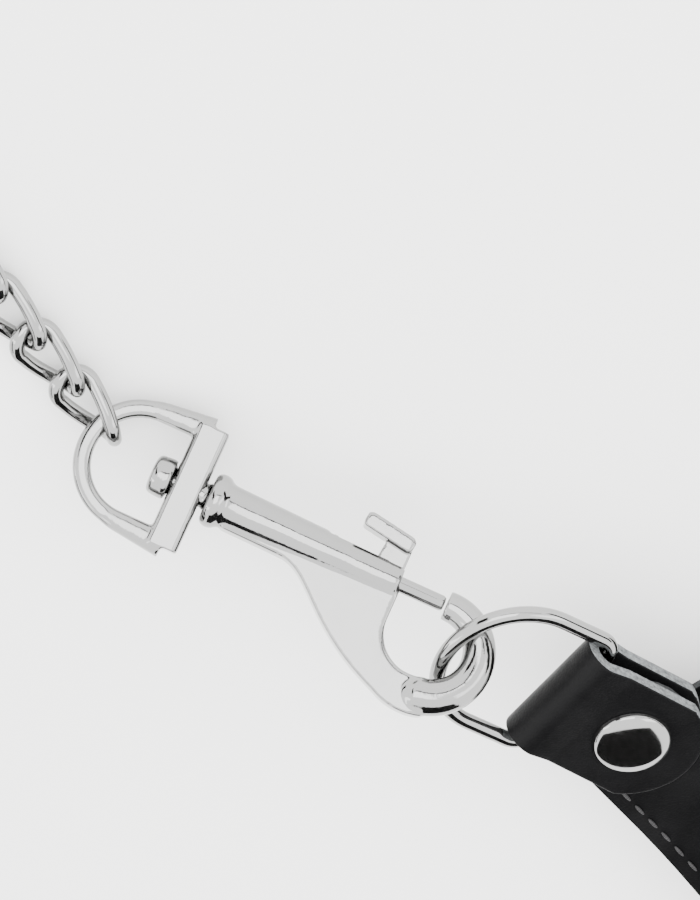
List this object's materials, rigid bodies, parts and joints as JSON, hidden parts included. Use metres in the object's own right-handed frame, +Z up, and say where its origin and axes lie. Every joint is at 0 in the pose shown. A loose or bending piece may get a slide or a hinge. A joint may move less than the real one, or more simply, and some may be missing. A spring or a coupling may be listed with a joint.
{
  "type": "chain wallet",
  "caption": "Black leather long wallet with a riveted D-ring tab, a twisted curb chain and two swivel bolt snaps.",
  "frame": {"origin": "middle of the wallet's flat underside", "axes": "+Z up out of the closed wallet, +X along the wallet's long edges away from the tab, +Y from the opening edge to the spine"},
  "size_m": [0.3675, 0.2271, 0.0339],
  "materials": {
    "cover_leather": "smooth black top-grain, semi-gloss, fine pores",
    "tab_leather": "thick black bridle leather, semi-gloss, raw grey fibrous cut edges",
    "lining_leather": "thin black pocket leather, matt",
    "snap_chrome": "polished nickel plate on zinc casting, slightly pitted",
    "chain_chrome": "polished nickel plate on steel wire",
    "ring_chrome": "polished nickel plate on steel wire",
    "rivet_chrome": "polished nickel plate, domed cap",
    "stud_chrome": "polished nickel plate",
    "spring_steel": "drawn spring wire"
  },
  "bodies": {
    "lower_half": {"lower_cover": "cover_leather", "bill_pocket_wall": "lining_leather", "card_pocket_1": "lining_leather", "card_pocket_2": "lining_leather", "card_pocket_3": "lining_leather", "card_pocket_4": "lining_leather", "receipt_pocket": "lining_leather", "stud_1_stud": "stud_chrome", "stud_1_post": "stud_chrome", "stud_2_stud": "stud_chrome", "stud_2_post": "stud_chrome"},
    "upper_half": {"upper_cover": "cover_leather", "upper_pocket_wall": "lining_leather", "coin_pocket": "lining_leather", "spine_fold": "cover_leather", "stud_1_cap": "stud_chrome", "stud_1_socket": "stud_chrome", "stud_2_cap": "stud_chrome", "stud_2_socket": "stud_chrome"},
    "tab": {"tab_strap": "tab_leather", "rivet_cap": "rivet_chrome", "rivet_base": "rivet_chrome"},
    "ring": {"d_ring": "ring_chrome"},
    "near_hook": {"near_body": "snap_chrome", "near_bolt_spring": "spring_steel"},
    "near_bolt_slider": {"near_bolt": "snap_chrome", "near_thumb_lever": "snap_chrome"},
    "near_eye": {"near_swivel_eye": "snap_chrome"},
    "link_01_body": {"link_01": "chain_chrome"},
    "link_02_body": {"link_02": "chain_chrome"},
    "link_03_body": {"link_03": "chain_chrome"},
    "link_04_body": {"link_04": "chain_chrome"},
    "link_05_body": {"link_05": "chain_chrome"},
    "link_06_body": {"link_06": "chain_chrome"},
    "link_07_body": {"link_07": "chain_chrome"},
    "link_08_body": {"link_08": "chain_chrome"},
    "link_09_body": {"link_09": "chain_chrome"},
    "link_10_body": {"link_10": "chain_chrome"},
    "link_11_body": {"link_11": "chain_chrome"},
    "link_12_body": {"link_12": "chain_chrome"},
    "link_13_body": {"link_13": "chain_chrome"},
    "link_14_body": {"link_14": "chain_chrome"},
    "link_15_body": {"link_15": "chain_chrome"},
    "link_16_body": {"link_16": "chain_chrome"},
    "link_17_body": {"link_17": "chain_chrome"},
    "link_18_body": {"link_18": "chain_chrome"},
    "far_eye": {"far_swivel_eye": "snap_chrome"},
    "far_hook": {"far_body": "snap_chrome", "far_bolt_spring": "spring_steel"},
    "far_bolt_slider": {"far_bolt": "snap_chrome", "far_thumb_lever": "snap_chrome"}
  },
  "joints": [
    {"name": "cover_open", "type": "hinge", "parent": "lower_half", "child": "upper_half", "pos_m": [0, 0.046, 0.00735], "axis": [-1, 0, 0], "range_deg": [0, 180], "deforming": ["spine_fold"]},
    {"name": "tab_turn", "type": "hinge", "parent": "upper_half", "child": "tab", "pos_m": [-0.0985, -0.0345, 0.01916], "axis": [0.165, 0, 0.9863], "range_deg": [-12, 12]},
    {"name": "ring_swing", "type": "hinge", "parent": "tab", "child": "ring", "pos_m": [-0.11091, -0.03837, 0.02017], "axis": [-0.2969, 0.9543, 0.0338], "range_deg": [-20, 60]},
    {"name": "near_hook_swing", "type": "hinge", "parent": "ring", "child": "near_hook", "pos_m": [-0.13192, -0.04829, 0.02549], "axis": [0.508, -0.8569, -0.0872], "range_deg": [-28, 12]},
    {"name": "near_bolt_slide", "type": "slide", "parent": "near_hook", "child": "near_bolt_slider", "axis": [-0.82, -0.5366, -0.1994], "range_m": [0, 0.0075], "stiffness_N_per_m": 180, "springref_m": -0.008, "deforming": ["near_bolt_spring"]},
    {"name": "near_eye_turn", "type": "hinge", "parent": "near_hook", "child": "near_eye", "pos_m": [-0.16901, -0.0656, 0.01196], "axis": [0.82, 0.5366, 0.1994], "continuous": true},
    {"name": "link_01_bend", "type": "hinge", "parent": "near_eye", "child": "link_01_body", "pos_m": [-0.18793, -0.07543, 0.00512], "axis": [0.052, -0.9135, -0.4034], "range_deg": [-20, 20]},
    {"name": "link_02_bend", "type": "hinge", "parent": "link_01_body", "child": "link_02_body", "pos_m": [-0.19825, -0.07543, 0.00379], "axis": [-0.0243, -0.2756, 0.961], "range_deg": [-20, 20]},
    {"name": "link_03_bend", "type": "hinge", "parent": "link_02_body", "child": "link_03_body", "pos_m": [-0.20864, -0.07543, 0.00353], "axis": [-0.0041, 0.9903, 0.1391], "range_deg": [-20, 20]},
    {"name": "link_04_bend", "type": "hinge", "parent": "link_03_body", "child": "link_04_body", "pos_m": [-0.21904, -0.07543, 0.00322], "axis": [0.0333, 0, -0.9994], "range_deg": [-20, 20]},
    {"name": "link_05_bend", "type": "hinge", "parent": "link_04_body", "child": "link_05_body", "pos_m": [-0.22943, -0.07543, 0.00287], "axis": [0, -1, 0], "range_deg": [-20, 20]},
    {"name": "link_06_bend", "type": "hinge", "parent": "link_05_body", "child": "link_06_body", "pos_m": [-0.23983, -0.07543, 0.00287], "axis": [0, 0, 1], "range_deg": [-20, 20]},
    {"name": "link_07_bend", "type": "hinge", "parent": "link_06_body", "child": "link_07_body", "pos_m": [-0.24988, -0.07812, 0.00287], "axis": [-0.5, 0.866, 0], "range_deg": [-20, 20]},
    {"name": "link_08_bend", "type": "hinge", "parent": "link_07_body", "child": "link_08_body", "pos_m": [-0.25889, -0.08332, 0.00287], "axis": [0, 0, -1], "range_deg": [-20, 20]},
    {"name": "link_09_bend", "type": "hinge", "parent": "link_08_body", "child": "link_09_body", "pos_m": [-0.26624, -0.09068, 0.00287], "axis": [0.866, -0.5, 0], "range_deg": [-20, 20]},
    {"name": "link_10_bend", "type": "hinge", "parent": "link_09_body", "child": "link_10_body", "pos_m": [-0.27144, -0.09968, 0.00287], "axis": [0, 0, 1], "range_deg": [-20, 20]},
    {"name": "link_11_bend", "type": "hinge", "parent": "link_10_body", "child": "link_11_body", "pos_m": [-0.27413, -0.10973, 0.00287], "axis": [-1, 0, 0], "range_deg": [-20, 20]},
    {"name": "link_12_bend", "type": "hinge", "parent": "link_11_body", "child": "link_12_body", "pos_m": [-0.27413, -0.12013, 0.00287], "axis": [0, 0, -1], "range_deg": [-20, 20]},
    {"name": "link_13_bend", "type": "hinge", "parent": "link_12_body", "child": "link_13_body", "pos_m": [-0.27144, -0.13018, 0.00287], "axis": [0.866, 0.5, 0], "range_deg": [-20, 20]},
    {"name": "link_14_bend", "type": "hinge", "parent": "link_13_body", "child": "link_14_body", "pos_m": [-0.26624, -0.13918, 0.00287], "axis": [0, 0, 1], "range_deg": [-20, 20]},
    {"name": "link_15_bend", "type": "hinge", "parent": "link_14_body", "child": "link_15_body", "pos_m": [-0.25889, -0.14654, 0.00287], "axis": [-0.5, -0.866, 0], "range_deg": [-20, 20]},
    {"name": "link_16_bend", "type": "hinge", "parent": "link_15_body", "child": "link_16_body", "pos_m": [-0.24988, -0.15174, 0.00287], "axis": [0.1634, 0.1479, -0.9754], "range_deg": [-12, 20]},
    {"name": "link_17_bend", "type": "hinge", "parent": "link_16_body", "child": "link_17_body", "pos_m": [-0.23991, -0.15441, 0.00414], "axis": [-0.0328, 0.9315, 0.3623], "range_deg": [-20, 16]},
    {"name": "link_18_bend", "type": "hinge", "parent": "link_17_body", "child": "link_18_body", "pos_m": [-0.22955, -0.15441, 0.00508], "axis": [-0.0558, -0.5299, 0.8462], "range_deg": [-20, 20]},
    {"name": "far_eye_swing", "type": "hinge", "parent": "link_18_body", "child": "far_eye", "pos_m": [-0.21917, -0.15441, 0.00576], "axis": [0, 0, 1], "range_deg": [-20, 20]},
    {"name": "far_hook_turn", "type": "hinge", "parent": "far_eye", "child": "far_hook", "pos_m": [-0.19653, -0.15441, 0.00515], "axis": [0.9996, 0, -0.0271], "continuous": true},
    {"name": "far_bolt_slide", "type": "slide", "parent": "far_hook", "child": "far_bolt_slider", "axis": [-0.9996, 0, 0.0271], "range_m": [0, 0.0075], "stiffness_N_per_m": 180, "springref_m": -0.008, "deforming": ["far_bolt_spring"]}
  ]
}
